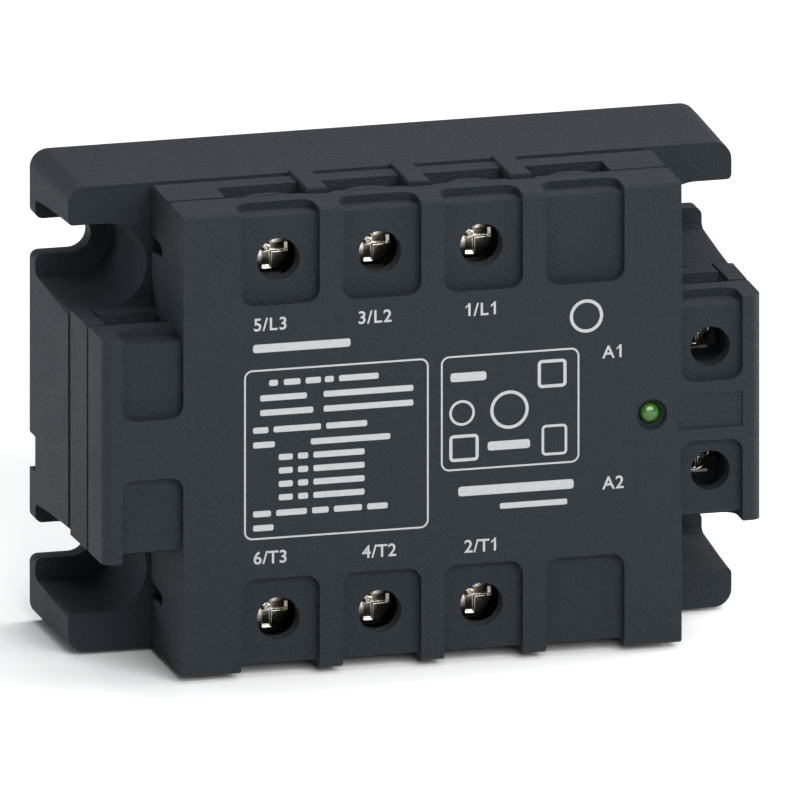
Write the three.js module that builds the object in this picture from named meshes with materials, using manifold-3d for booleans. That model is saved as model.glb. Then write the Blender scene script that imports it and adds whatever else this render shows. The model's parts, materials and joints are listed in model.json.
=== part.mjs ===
// A three-phase solid state relay for panel or heat sink mounting, in millimetres.
// The root frame has its origin at the centre of the plate's mounting face: +X is to the right of
// someone who faces the relay, +Y goes into the panel and +Z is up.
// Everything is drawn in the face frame, in which x is right, y is up and z is the distance in
// front of the mounting face. One turned group carries the face frame into the root frame.
import * as THREE from "three";
import { mergeVertices } from "three/addons/utils/BufferGeometryUtils.js";
import Module from "manifold-3d";

const wasm = await Module();
wasm.setup();

// Overall size
const plateWidth = 104;
const plateHeight = 73.3;
const plateThickness = 3.25;
const plateCornerRadius = 2.8;

// Layers from the mounting face to the front
const baseFront = 21.75;
const housingDepth = 10;
const layerGap = 0.25;
const coverDepth = 9.1;
const housingFront = baseFront + housingDepth;
const coverBack = housingFront + layerGap;
const overallDepth = coverBack + coverDepth;

// Mounting slots, open to the sides, and the driver space around them
const slotWidth = 5.6;
const slotMouthRadius = 1.2;
const slotFromSide = 5.86;
const slotFromEdge = 12.85;
const counterboreRadius = 5.9;
const counterboreGrowth = 0.78;
const counterboreMouthRadius = 0.8;
const counterboreFoot = 0.6;

// Locating notch in the plate's left edge
const notchWidth = 5.5;
const notchDepth = 1.5;
const notchBelowMiddle = 10.25;

// Walls, draft and clearances
const wall = 2;
const deckThickness = 2;
const baseDraft = 0.25;
const looseFit = 0.3;
const screwPlay = 0.05;
const legFit = 0.3;
const cavityMargin = 0.25;
const middleMargin = 1.5;
const seam = 0.5;
const past = 5;

// A quarter circle in an outline has twice this many straight pieces.
const arcSegments = 2;
const smallSegments = 12;
const roundSegments = 16;
const holeSegments = 24;

// Cross-shaped body: a central block and two wings
const earDepth = 13.125;
const blockFromEdge = 0.25;
const housingDraft = 0.35;
const coverStep = 0.15;
const coverDraft = 0.15;
const wingFromCounterbore = 0.275;
const wingFromSide = 0.3;
const wingDraft = 0.45;
const wingEdgeRadius = 1.6;
const blockEdgeRadius = 0.85;

// Reveals between the layers
const revealDepth = 0.875;
const backRevealWidth = 1.6;
const wingRevealWidth = 1;
const cornerRevealWidth = 0.9;
const cornerRevealInset = 0.7;
const coverWingReveal = 0.6;
const wingSlitWidth = 0.35;

// Side skirts of the cover and the latch windows in them
const skirtThickness = 1.625;
const skirtFoot = 0.25;
const latchFromEdge = 9.4;
const latchWidth = 2.6;
const latchTip = 1.8;
const latchLength = 6.9;
const latchHook = 0.5;
const latchFit = 0.2;

// Terminal columns
const columnPitch = 15.85;
const columnShift = 0.075;
const columnCount = 4;
const poweredColumns = 3;
const entryWidth = 12.5;
const entryFoot = 5.15;
const ribProud = 0.5;
const ribOverlap = 0.6;
const ribSeat = 0.6;
const ribSeatDepth = 0.8;
const terminalFromEdge = 8.3;
const chamberLength = 16.9;
const tabBase = 5.7;
const tabTip = 2.7;
const tabLength = 0.95;

// Shallow pockets in the cover round each terminal
const pocketWidth = 12.2;
const pocketDepth = 1.3;
const pocketFromEdge = 15;
const pocketRadius = 2;
const pocketEnd = 1.25;
const pocketEndBack = 5.4;
const accessWall = 2.55;
const powerHoleDiameter = 6.6;
const controlHoleDiameter = 6.1;
const wingPocketWidth = 9.5;
const wingPocketInner = 4.65;
const markerHalfHeight = 2.7;
const markerDepth = 0.3;
const markerInset = 0.6;

// Power terminal: bus bar, clamp plate and M4 screw
const power = {
  contact: baseFront + 5.25,
  barThickness: 1.5,
  barWidth: 8,
  collarDiameter: 6.4,
  collarLength: 2,
  gap: 1.25,
  clampWidth: 10.4,
  clampLength: 9.4,
  clampThickness: 1.5,
  lip: 0.8,
  lipReach: 1.2,
  headDiameter: 8,
  headHeight: 3,
  shankDiameter: 4,
  shankLength: 9.25,
  crossLength: 6.4,
  crossWidth: 1.4,
  crossDepth: 1.5,
};

// Control terminal: bar, clamp plate and M3 screw
const control = {
  contact: baseFront + 4.75,
  barThickness: 1.25,
  barWidth: 6,
  barLength: 7.9,
  collarDiameter: 5,
  collarLength: 1.75,
  gap: 0.25,
  clampWidth: 8,
  clampLength: 6.4,
  clampThickness: 0.875,
  lip: 0.7,
  lipReach: 0.7,
  headDiameter: 5.6,
  headHeight: 2.25,
  shankDiameter: 3,
  shankLength: 8,
  crossLength: 4.9,
  crossWidth: 1.1,
  crossDepth: 1.1,
};
const barGap = 1;
const holeClearance = 0.3;
const tipChamfer = 0.4;
const headRounding = 0.3;
const controlFromMiddle = 9.7;
const controlFromBlock = 4.785;
const controlChamberFromBlock = 0.45;
const controlChamberWidth = 9;
const controlBarGap = 0.85;
const controlLegWidth = 4;
const controlLegThickness = 1;

// Circuit board and what is on it
const boardFront = 11;
const boardThickness = 1.5;
const boardGap = 0.82;
const boardFromColumn = 10.775;
const postDiameter = 4.4;
const postPinDiameter = 2;
const postPinLength = 2.5;
const postPinFit = 0.25;
const boardMargin = 0.5;
const postFromMiddle = 11;
const postFromColumn = 8.275;
const couplerSize = { x: 8.6, y: 6.4, z: 3.5 };
const capacitorSize = { x: 11, y: 5 };
const capacitorGap = 0.75;
const driverSize = { x: 5, y: 4, z: 1.5 };
const driverFromLand = 5;
const partsFromMiddle = 7.5;
const resistorDiameter = 2.4;
const resistorLength = 6.5;

// Indicator
const indicatorFromBlock = 4.675;
const ledDiameter = 3;
const ledHeight = 2.4;
const pipeDiameter = 3;
const pipeFit = 0.2;
const pipeFlangeDiameter = 5;
const pipeFlangeThickness = 1.5;
const pipeDome = 0.85;
const lensRecessDiameter = 4.8;
const landWidth = 9.9;

// Power section on the plate
const substrateSpace = 2.25;
const substrateThickness = 1;
const substrateMargin = 0.5;
const chipSize = 9;
const chipThickness = 0.45;
const chipFromMiddle = 8;
const footLength = 5.4;
const gelGap = 0.3;
const gelBelowPins = 0.5;

// Places that follow from the sizes
const halfWidth = plateWidth / 2;
const halfHeight = plateHeight / 2;
const slotX = halfWidth - slotFromSide;
const slotY = halfHeight - slotFromEdge;
const blockX = halfWidth - earDepth;
const blockY = halfHeight - blockFromEdge;
const wingX = halfWidth - wingFromSide;
const wingY = slotY - counterboreRadius - wingFromCounterbore;
const counterboreEdge = counterboreRadius + counterboreGrowth;
const wingCavityY = slotY - counterboreEdge - wall;
const deckBack = baseFront - deckThickness;
const skirtInside = blockX - skirtThickness;
const ledgeInside = blockY - revealDepth;
const terminalY = blockY - terminalFromEdge;
const chamberInner = blockY - chamberLength;
const chamberOuter = blockY - wall;
const legInside = chamberInner + barGap;
const barEnd = chamberOuter - barGap;
const entryBack = baseFront + entryFoot;
const ribFront = coverBack + ribOverlap;
const controlX = blockX + controlFromBlock;
const controlChamberX = blockX + controlChamberFromBlock;
const controlChamberInner = controlFromMiddle - control.barLength / 2 - controlBarGap;
const substrateWidth = columnPitch - substrateSpace;
const gelFront = boardFront - postPinLength - gelBelowPins;
const firstColumn = columnShift - ((columnCount - 1) * columnPitch) / 2;
const indicatorX = blockX - indicatorFromBlock;
const landX = blockX - landWidth;
const pocketFloor = overallDepth - pocketDepth;
const coverCeiling = pocketFloor - accessWall;
const boardBack = boardFront - boardThickness;
const boardHalfHeight = wingCavityY - boardGap;
const chamberFloor = power.contact - power.barThickness;
const controlFloor = control.contact - control.barThickness;
const windowY = blockY - latchFromEdge;
const columns = Array.from({ length: columnCount }, (_, i) => firstColumn + i * columnPitch);
const ribs = columns.slice(0, -1).map((x) => x + columnPitch / 2);
const sides = [1, -1];
const powerNames = [
  ["L3", "T3"],
  ["L2", "T2"],
  ["L1", "T1"],
];
const controlNames = ["A1", "A2"];

// Solids: three.js draws each shape, and booleans join and cut them.
function solid(geometry) {
  const plain = geometry.index ? geometry.toNonIndexed() : geometry.clone();
  plain.deleteAttribute("normal");
  plain.deleteAttribute("uv");
  const merged = mergeVertices(plain, 1e-4);
  const index = merged.index.array;
  const kept = [];
  for (let i = 0; i < index.length; i += 3) {
    const [a, b, c] = index.subarray(i, i + 3);
    if (a !== b && b !== c && c !== a) kept.push(a, b, c);
  }
  return new wasm.Manifold(
    new wasm.Mesh({
      numProp: 3,
      vertProperties: merged.attributes.position.array,
      triVerts: new Uint32Array(kept),
    }),
  );
}

function box(x0, x1, y0, y1, z0, z1) {
  const geometry = new THREE.BoxGeometry(x1 - x0, y1 - y0, z1 - z0);
  geometry.translate((x0 + x1) / 2, (y0 + y1) / 2, (z0 + z1) / 2);
  return solid(geometry);
}

// A box from y0 out to y1 on the upper side, or its mirror image on the lower side.
function sideBox(x0, x1, side, y0, y1, z0, z1) {
  return side > 0 ? box(x0, x1, y0, y1, z0, z1) : box(x0, x1, -y1, -y0, z0, z1);
}

function disc(x, y, radius, z0, z1, segments = roundSegments) {
  const geometry = new THREE.CylinderGeometry(radius, radius, z1 - z0, segments);
  geometry.rotateX(Math.PI / 2);
  geometry.translate(x, y, (z0 + z1) / 2);
  return solid(geometry);
}

function extruded(shape, z0, z1, steps = 1) {
  const geometry = new THREE.ExtrudeGeometry(shape, {
    depth: z1 - z0,
    bevelEnabled: false,
    curveSegments: arcSegments,
    steps,
  });
  geometry.translate(0, 0, z0);
  return geometry;
}

// Points of (x, z) or (y, z) outlines are turned so that the extrusion runs along y or along x.
function alongY(shape, y0, y1) {
  const geometry = extruded(shape, -y1, -y0);
  geometry.rotateX(Math.PI / 2);
  return solid(geometry);
}

function alongX(shape, x0, x1) {
  const geometry = extruded(shape, x0, x1);
  geometry.applyMatrix4(
    new THREE.Matrix4().makeBasis(
      new THREE.Vector3(0, 1, 0),
      new THREE.Vector3(0, 0, 1),
      new THREE.Vector3(1, 0, 0),
    ),
  );
  return solid(geometry);
}

function revolved(profile) {
  const points = profile.map(([r, z]) => new THREE.Vector2(r, z));
  const geometry = new THREE.LatheGeometry(points, roundSegments);
  geometry.rotateX(Math.PI / 2);
  return solid(geometry);
}

function joined(first, ...others) {
  return others.reduce((all, next) => all.add(next), first);
}

function cut(first, ...others) {
  return others.reduce((rest, next) => rest.subtract(next), first);
}

function roundedRect(width, height, radius) {
  const [w, h] = [width / 2, height / 2];
  const shape = new THREE.Shape();
  shape.moveTo(w - radius, -h);
  shape.absarc(w - radius, radius - h, radius, -Math.PI / 2, 0, false);
  shape.absarc(w - radius, h - radius, radius, 0, Math.PI / 2, false);
  shape.absarc(radius - w, h - radius, radius, Math.PI / 2, Math.PI, false);
  shape.absarc(radius - w, radius - h, radius, Math.PI, 1.5 * Math.PI, false);
  return shape;
}

// An outline that narrows by draft on each side between its ends, with its front edges rounded.
function draftedOutline(half, draft, z0, z1, radius) {
  const shape = new THREE.Shape();
  shape.moveTo(-half, z0);
  shape.lineTo(half, z0);
  const front = half - draft;
  if (radius > 0) {
    shape.lineTo(front, z1 - radius);
    shape.absarc(front - radius, z1 - radius, radius, 0, Math.PI / 2, false);
    shape.absarc(radius - front, z1 - radius, radius, Math.PI / 2, Math.PI, false);
  } else {
    shape.lineTo(front, z1);
    shape.lineTo(-front, z1);
  }
  shape.closePath();
  return shape;
}

// A slot outline from its round end at the origin out to +X, with a rounded mouth at x = reach.
function slotOutline(radius, mouth, reach) {
  const shape = new THREE.Shape();
  shape.moveTo(0, -radius);
  shape.lineTo(reach - mouth, -radius);
  shape.absarc(reach - mouth, -radius - mouth, mouth, Math.PI / 2, 0, true);
  shape.lineTo(reach + past, -radius - mouth);
  shape.lineTo(reach + past, radius + mouth);
  shape.lineTo(reach, radius + mouth);
  shape.absarc(reach - mouth, radius + mouth, mouth, 0, -Math.PI / 2, true);
  shape.lineTo(0, radius);
  shape.absarc(0, 0, radius, Math.PI / 2, Math.PI, false);
  shape.absarc(0, 0, radius, Math.PI, 1.5 * Math.PI, false);
  return shape;
}

// An extrusion through levels of [z, width factor], about the outline's centre line.
function flared(shape, levels) {
  const geometry = extruded(shape, 0, levels.length - 1, levels.length - 1);
  const position = geometry.attributes.position;
  for (let i = 0; i < position.count; i += 1) {
    const [z, factor] = levels[Math.round(position.getZ(i))];
    const x = position.getX(i);
    position.setXYZ(i, x < 0 ? x * factor : x, position.getY(i) * factor, z);
  }
  return geometry;
}

function atEachSlot(geometry) {
  return sides.flatMap((right) =>
    sides.map((up) => {
      const copy = geometry.clone();
      if (right < 0) copy.rotateZ(Math.PI);
      copy.translate(right * slotX, up * slotY, 0);
      return solid(copy);
    }),
  );
}

function cutNotch(body) {
  const y = -notchBelowMiddle;
  const x = notchDepth - halfWidth;
  return cut(body, box(x - notchDepth - past, x, y - notchWidth / 2, y + notchWidth / 2, -1, 5));
}

function basePlate() {
  const outline = roundedRect(plateWidth, plateHeight, plateCornerRadius);
  const slab = solid(extruded(outline, 0, plateThickness));
  const reach = slotFromSide;
  const slots = extruded(slotOutline(slotWidth / 2, slotMouthRadius, reach), -1, plateThickness + 1);
  return cutNotch(cut(slab, ...atEachSlot(slots)));
}

// The outer body of the base housing narrows a little towards the front.
function baseEnvelope() {
  const outline = roundedRect(plateWidth, plateHeight, plateCornerRadius);
  const geometry = extruded(outline, plateThickness, baseFront);
  const position = geometry.attributes.position;
  for (let i = 0; i < position.count; i += 1) {
    if (position.getZ(i) > baseFront - 1e-6) {
      position.setX(i, position.getX(i) * (1 - (2 * baseDraft) / plateWidth));
      position.setY(i, position.getY(i) * (1 - (2 * baseDraft) / plateHeight));
    }
  }
  return solid(geometry);
}

// The driver space has a chamfered foot on the plate and widens towards the front.
function counterbores() {
  const outline = slotOutline(counterboreRadius, counterboreMouthRadius, slotFromSide - baseDraft / 2);
  const foot = 1 - counterboreFoot / counterboreRadius;
  const front = 1 + counterboreGrowth / counterboreRadius;
  return atEachSlot(
    flared(outline, [
      [plateThickness - 1, foot],
      [plateThickness, foot],
      [plateThickness + counterboreFoot, 1],
      [baseFront + 1, front],
    ]),
  );
}

function boardPosts(z0, z1, diameter) {
  const xs = [firstColumn - postFromColumn, landX];
  const r = diameter / 2;
  return xs.flatMap((x) =>
    sides.map((up) => disc(x, up * postFromMiddle, r, z0, z1, smallSegments)),
  );
}

function legSlot(x, side, z0, z1) {
  const half = power.barWidth / 2 + legFit;
  const outer = legInside + power.barThickness + legFit;
  return sideBox(x - half, x + half, side, legInside - legFit, outer, z0, z1);
}

function controlLegSlot(side, z0, z1) {
  const half = controlLegWidth / 2 + legFit;
  const inner = controlFromMiddle - control.barLength / 2;
  const outer = inner + controlLegThickness + legFit;
  return sideBox(controlX - half, controlX + half, side, inner - legFit, outer, z0, z1);
}

// Every passage through the deck: bar legs, screw tips and the light pipe.
function passages(z0, z1, powerRadius, controlRadius) {
  const powered = columns.slice(0, poweredColumns);
  return [
    ...powered.flatMap((x) => sides.map((up) => legSlot(x, up, z0, z1))),
    ...powered.flatMap((x) => sides.map((up) => disc(x, up * terminalY, powerRadius, z0, z1))),
    ...sides.map((up) => controlLegSlot(up, z0, z1)),
    ...sides.map((up) => disc(controlX, up * controlFromMiddle, controlRadius, z0, z1)),
    disc(indicatorX, 0, pipeDiameter / 2 + pipeFit, z0, z1),
  ];
}

function baseHousing() {
  const back = plateThickness - 1;
  const cavityX = slotX - counterboreEdge - wall;
  const cavityHalf = halfHeight - wall - cavityMargin;
  const shell = cut(
    baseEnvelope(),
    box(-cavityX, cavityX, -cavityHalf, cavityHalf, back, deckBack),
    box(wall - halfWidth, halfWidth - wall, -wingCavityY, wingCavityY, back, deckBack),
    ...counterbores(),
    ...passages(
      deckBack - 1,
      baseFront + 1,
      power.shankDiameter / 2 + 2 * holeClearance,
      control.shankDiameter / 2 + 2 * holeClearance,
    ),
  );
  return joined(
    shell,
    ...boardPosts(boardFront, deckBack + seam, postDiameter),
    ...boardPosts(boardFront - postPinLength, boardFront + seam, postPinDiameter),
  );
}

// The block and the wings share these outlines, so the housing and the cover line up.
function crossBody(z0, z1, blockHalf, blockDraft, blockRadius, wingRadius) {
  const depth = overallDepth - baseFront;
  const wingAt = (z) => wingX - (wingDraft * (z - baseFront)) / depth;
  const block = draftedOutline(blockHalf, blockDraft, z0, z1, blockRadius);
  const wing = draftedOutline(wingAt(z0), wingAt(z0) - wingAt(z1), z0, z1, wingRadius);
  return joined(alongX(block, -blockX, blockX), alongY(wing, -wingY, wingY));
}

// Cuts for the wire entries, taken from the chamber's inner end out through the edge.
function powerChamber(x, side) {
  const half = entryWidth / 2;
  return joined(
    sideBox(x - half, x + half, side, chamberInner, chamberOuter, chamberFloor, housingFront + 1),
    sideBox(x - half, x + half, side, chamberOuter - 1, blockY + past, entryBack, housingFront + 1),
  );
}

function wingChamber(right, side) {
  const [a, b] = [controlChamberX, controlChamberX + controlChamberWidth];
  const [x0, x1] = right > 0 ? [a, b] : [-b, -a];
  const outer = wingY - wall;
  return joined(
    sideBox(x0, x1, side, controlChamberInner, outer, controlFloor, housingFront + 1),
    sideBox(x0, x1, side, outer - 1, wingY + past, entryBack, housingFront + 1),
  );
}

function latchOutline(margin) {
  const shape = new THREE.Shape();
  const [foot, tip] = [baseFront + skirtFoot + margin, baseFront + latchLength - margin];
  const top = latchWidth / 2 - margin;
  shape.moveTo(-latchWidth / 2 + margin, foot);
  shape.lineTo(top, foot);
  shape.lineTo(top, tip - pocketRadius / 2);
  shape.lineTo(top - pocketRadius / 2, tip);
  shape.lineTo(latchWidth / 2 - latchTip + margin, tip);
  shape.closePath();
  return shape;
}

// Latch shapes stand at the four corners of the block, between x0 and x1 from the middle.
function latches(margin, x0, x1) {
  return sides.flatMap((right) =>
    sides.map((up) => {
      const [a, b] = right > 0 ? [x0, x1] : [-x1, -x0];
      return alongX(latchOutline(margin), a, b).translate(0, up * windowY, 0);
    }),
  );
}

function terminalHousing() {
  const z0 = baseFront;
  const z1 = housingFront;
  const reach = halfWidth + past;
  const blockRoom = blockY + past;
  const body = crossBody(z0, z1, blockY, housingDraft, 0, 0);
  const skirtRoom = sides.flatMap((right) =>
    sides.map((up) => {
      const [a, b] = right > 0 ? [skirtInside, blockX + 1] : [-blockX - 1, -skirtInside];
      return sideBox(a, b, up, wingY, ledgeInside, z0 - 1, z1 + 1);
    }),
  );
  const backReveal = sides.map((up) =>
    sideBox(-blockX - 1, blockX + 1, up, ledgeInside, blockRoom, z0 - 1, z0 + backRevealWidth),
  );
  const wingReveals = sides.flatMap((right) => {
    const inner = wingX - revealDepth;
    const [a, b] = right > 0 ? [inner, reach] : [-reach, -inner];
    return [box(a, b, -wingY - 1, wingY + 1, z0 - 1, z0 + wingRevealWidth)];
  });
  const slits = sides.flatMap((right) =>
    sides.map((up) => {
      const inner = controlChamberX + controlChamberWidth;
      const [a, b] = right > 0 ? [inner, inner + wingSlitWidth] : [-inner - wingSlitWidth, -inner];
      return sideBox(a, b, up, wingY - revealDepth, wingY + 1, z0 - 1, z1 + 1);
    }),
  );
  const wingTops = sides.flatMap((right) =>
    sides.map((up) => {
      const outer = controlChamberX + controlChamberWidth;
      const [a, b] = right > 0 ? [blockX, outer] : [-outer, -blockX];
      return sideBox(a, b, up, wingY - revealDepth, wingY + 1, z0 - 1, z0 + backRevealWidth);
    }),
  );
  const middleHalf = chamberInner - middleMargin;
  const middle = box(-landX, landX, -middleHalf, middleHalf, z0 - 1, z1 + 1);
  const cuts = cut(
    body,
    ...skirtRoom,
    ...backReveal,
    ...wingReveals,
    ...wingTops,
    ...slits,
    middle,
    ...columns.flatMap((x) => sides.map((up) => powerChamber(x, up))),
    ...sides.flatMap((right) => sides.map((up) => wingChamber(right, up))),
    ...passages(
      z0 - 1,
      z1 + 1,
      power.collarDiameter / 2 + holeClearance,
      control.collarDiameter / 2 + holeClearance,
    ),
  );
  const ribHalf = (columnPitch - entryWidth) / 2;
  const ribTop = blockY + ribProud;
  const ribSolids = ribs.flatMap((x) =>
    sides.flatMap((up) => [
      sideBox(x - ribHalf, x + ribHalf, up, chamberOuter, ribTop, z0, z1),
      sideBox(x - ribHalf, x + ribHalf, up, ledgeInside + looseFit, ribTop, z1 - seam, ribFront),
    ]),
  );
  const hooks = latches(latchFit, skirtInside - seam, skirtInside + latchHook);
  return joined(cuts, ...ribSolids, ...hooks);
}

// A pocket runs from its round inner end out through the edge, and turns over it.
function pocket(x, side, inner, edge, width) {
  const half = width / 2;
  const length = edge - inner + past;
  const face = new THREE.Shape();
  face.moveTo(x - half, inner + length);
  face.lineTo(x - half, inner + pocketRadius);
  face.absarc(x - half + pocketRadius, inner + pocketRadius, pocketRadius, Math.PI, 1.5 * Math.PI, false);
  face.absarc(x + half - pocketRadius, inner + pocketRadius, pocketRadius, 1.5 * Math.PI, 0, false);
  face.lineTo(x + half, inner + length);
  face.closePath();
  const back = overallDepth - pocketEndBack;
  const end = new THREE.Shape();
  end.moveTo(x - half, overallDepth + 1);
  end.lineTo(x - half, back + pocketRadius);
  end.absarc(x - half + pocketRadius, back + pocketRadius, pocketRadius, Math.PI, 1.5 * Math.PI, false);
  end.absarc(x + half - pocketRadius, back + pocketRadius, pocketRadius, 1.5 * Math.PI, 0, false);
  end.lineTo(x + half, overallDepth + 1);
  end.closePath();
  const faceCut = solid(extruded(face, pocketFloor, overallDepth + 1));
  const upper = joined(faceCut, alongY(end, edge - pocketEnd, edge + past));
  return side > 0 ? upper : upper.mirror([0, 1, 0]);
}

// The tab of the cover's back edge that hangs over a wire entry.
function entryTab(x, side) {
  const shape = new THREE.Shape();
  shape.moveTo(x - tabBase / 2, coverBack + 1);
  shape.lineTo(x - tabBase / 2, coverBack);
  shape.lineTo(x - tabTip / 2, coverBack - tabLength);
  shape.lineTo(x + tabTip / 2, coverBack - tabLength);
  shape.lineTo(x + tabBase / 2, coverBack);
  shape.lineTo(x + tabBase / 2, coverBack + 1);
  shape.closePath();
  const outer = blockY - coverStep;
  return side > 0 ? alongY(shape, chamberOuter, outer) : alongY(shape, -outer, -chamberOuter);
}

function topCover() {
  const z0 = coverBack;
  const outerY = blockY - coverStep;
  const body = crossBody(z0, overallDepth, outerY, coverDraft, blockEdgeRadius, wingEdgeRadius);
  const skirts = sides.flatMap((right) =>
    sides.map((up) => {
      const [a, b] = right > 0 ? [skirtInside, blockX] : [-blockX, -skirtInside];
      return sideBox(a, b, up, wingY, ledgeInside, baseFront + skirtFoot, z0 + 1);
    }),
  );
  const tabs = columns.flatMap((x) => sides.map((up) => entryTab(x, up)));
  const barriers = ribs.flatMap((x) =>
    sides.map((up) => {
      const [x0, x1] = [x - wall / 2, x + wall / 2];
      return sideBox(x0, x1, up, chamberInner, chamberOuter, z0, coverCeiling + 1);
    }),
  );
  const cavityOuter = chamberOuter - cavityMargin;
  const cavities = sides.flatMap((up) => [
    sideBox(-skirtInside, skirtInside, up, chamberInner, cavityOuter, z0 - 1, coverCeiling),
    ...sides.map((right) => {
      const [a, b] = [controlChamberX, controlChamberX + controlChamberWidth];
      const [x0, x1] = right > 0 ? [a, b] : [-b, -a];
      return sideBox(x0, x1, up, controlChamberInner, wingY - wall, z0 - 1, coverCeiling);
    }),
  ]);
  const middleHalf = chamberInner - middleMargin;
  const middle = box(-landX, landX, -middleHalf, middleHalf, z0 - 1, overallDepth - wall);
  const wingRoom = sides.map((right) => {
    const [a, b] = right > 0 ? [blockX, halfWidth + past] : [-halfWidth - past, -blockX];
    return box(a, b, -wingY - 1, wingY + 1, z0 - 1, z0 + coverWingReveal);
  });
  const corners = sides.flatMap((right) =>
    sides.map((up) => {
      const inner = blockX - cornerRevealInset;
      const [a, b] = right > 0 ? [inner, blockX + 1] : [-blockX - 1, -inner];
      return sideBox(a, b, up, ledgeInside, blockY + 1, z0 - 1, z0 + cornerRevealWidth);
    }),
  );
  const seatHalf = (columnPitch - entryWidth) / 2 + ribSeat;
  const ribSeats = ribs.flatMap((x) =>
    sides.map((up) =>
      sideBox(x - seatHalf, x + seatHalf, up, ledgeInside, blockY + 1, z0 - 1, ribFront + ribSeatDepth),
    ),
  );
  const pockets = sides.flatMap((up) => [
    ...columns.map((x) => pocket(x, up, blockY - pocketFromEdge, outerY, pocketWidth)),
    ...sides.map((right) => {
      const x = right * (blockX + wingPocketWidth / 2);
      return pocket(x, up, wingPocketInner, wingY, wingPocketWidth);
    }),
  ]);
  const hole = (x, y, diameter) => disc(x, y, diameter / 2, z0, overallDepth + 1, holeSegments);
  const holes = sides.flatMap((up) => [
    ...columns.slice(0, poweredColumns).map((x) => hole(x, up * terminalY, powerHoleDiameter)),
    hole(controlX, up * controlFromMiddle, controlHoleDiameter),
  ]);
  const flangeRoom = housingFront + pipeFlangeThickness + looseFit;
  const marker = box(
    blockX - markerInset,
    blockX + wingPocketWidth,
    -markerHalfHeight,
    markerHalfHeight,
    overallDepth - markerDepth,
    overallDepth + 1,
  );
  const shell = cut(joined(body, ...skirts), ...cavities, middle, ...wingRoom);
  return cut(
    joined(shell, ...barriers, ...tabs),
    ...corners,
    ...ribSeats,
    ...pockets,
    ...holes,
    marker,
    ...latches(0, skirtInside - 1, blockX + 1),
    disc(indicatorX, 0, lensRecessDiameter / 2, pocketFloor, overallDepth + 1),
    disc(indicatorX, 0, pipeDiameter / 2 + pipeFit, z0 - 1, overallDepth),
    disc(indicatorX, 0, pipeFlangeDiameter / 2 + pipeFit, z0 - 1, flangeRoom),
  );
}

function lightPipe() {
  const r = pipeDiameter / 2;
  const flange = pipeFlangeDiameter / 2;
  const arc = Array.from({ length: 5 }, (_, i) => {
    const turn = (i / 4) * (Math.PI / 2);
    return [r * Math.cos(turn), pocketFloor + pipeDome * Math.sin(turn)];
  });
  arc[4][0] = 0;
  return revolved([
    [0, boardFront + ledHeight + looseFit],
    [r, boardFront + ledHeight + looseFit],
    [r, housingFront],
    [flange, housingFront],
    [flange, housingFront + pipeFlangeThickness],
    [r, housingFront + pipeFlangeThickness],
    ...arc,
  ]);
}

function statusLed() {
  const r = ledDiameter / 2;
  return revolved([
    [0, 0],
    [r, 0],
    [r, ledHeight - 1],
    [r * 0.7, ledHeight - 0.3],
    [0, ledHeight],
  ]);
}

function circuitBoard() {
  const right = controlX + control.barWidth / 2 + boardMargin;
  const left = firstColumn - boardFromColumn;
  const slab = box(left, right, -boardHalfHeight, boardHalfHeight, boardBack, boardFront);
  const pinHole = postPinDiameter + 2 * postPinFit;
  return cut(slab, ...boardPosts(boardBack - 1, boardFront + 1, pinHole));
}

// A bar that carries a clamp's wire: its contact face in front, a leg behind and a foot below.
function powerBusbar(side) {
  const half = power.barWidth / 2;
  const outer = legInside + power.barThickness;
  const footZ = plateThickness + substrateThickness;
  const bar = joined(
    sideBox(-half, half, side, legInside, barEnd, chamberFloor, power.contact),
    sideBox(-half, half, side, legInside, outer, footZ, power.contact),
    sideBox(-half, half, side, outer - footLength, outer, footZ, footZ + power.barThickness),
    disc(0, side * terminalY, power.collarDiameter / 2, chamberFloor - power.collarLength, power.contact),
  );
  const bore = power.shankDiameter / 2 + holeClearance;
  return cut(bar, disc(0, side * terminalY, bore, deckBack, power.contact + 1));
}

function controlTerminal(side) {
  const half = control.barWidth / 2;
  const legHalf = controlLegWidth / 2;
  const inner = controlFromMiddle - control.barLength / 2;
  const collarBack = controlFloor - control.collarLength;
  const bar = joined(
    sideBox(-half, half, side, inner, inner + control.barLength, controlFloor, control.contact),
    sideBox(-legHalf, legHalf, side, inner, inner + controlLegThickness, boardFront, control.contact),
    disc(0, side * controlFromMiddle, control.collarDiameter / 2, collarBack, control.contact),
  );
  const bore = control.shankDiameter / 2 + holeClearance;
  return cut(bar, disc(0, side * controlFromMiddle, bore, deckBack, control.contact + 1));
}

// A clamp plate with two lips that straddle its bar. Its origin is on the screw's axis.
function clampPlate(t) {
  const z0 = t.contact + t.gap;
  const half = t.clampWidth / 2;
  const length = t.clampLength / 2;
  const lips = sides.map((right) => {
    const [a, b] = right > 0 ? [half - t.lip, half] : [-half, t.lip - half];
    return box(a, b, -length, length, z0 - t.lipReach, z0 + t.clampThickness);
  });
  const plate = box(-half, half, -length, length, z0, z0 + t.clampThickness);
  const bore = t.shankDiameter / 2 + holeClearance;
  return cut(joined(plate, ...lips), disc(0, 0, bore, z0 - 1, z0 + t.clampThickness + 1));
}

// A cross-slotted screw. Its origin is on its axis.
function terminalScrew(t) {
  const seat = t.contact + t.gap + t.clampThickness + screwPlay;
  const front = seat + t.headHeight;
  const r = t.shankDiameter / 2;
  const head = t.headDiameter / 2;
  const round = t.headHeight * headRounding;
  const tip = seat - t.shankLength;
  const body = revolved([
    [0, tip],
    [r - tipChamfer, tip],
    [r, tip + tipChamfer],
    [r, seat],
    [head, seat],
    [head, front - round],
    [head - round * headRounding, front - round * headRounding],
    [head - round, front],
    [0, front],
  ]);
  const [long, wide] = [t.crossLength / 2, t.crossWidth / 2];
  const floor = front - t.crossDepth;
  return cut(
    body,
    box(-long, long, -wide, wide, floor, front + 1),
    box(-wide, wide, -long, long, floor, front + 1),
  );
}

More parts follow.
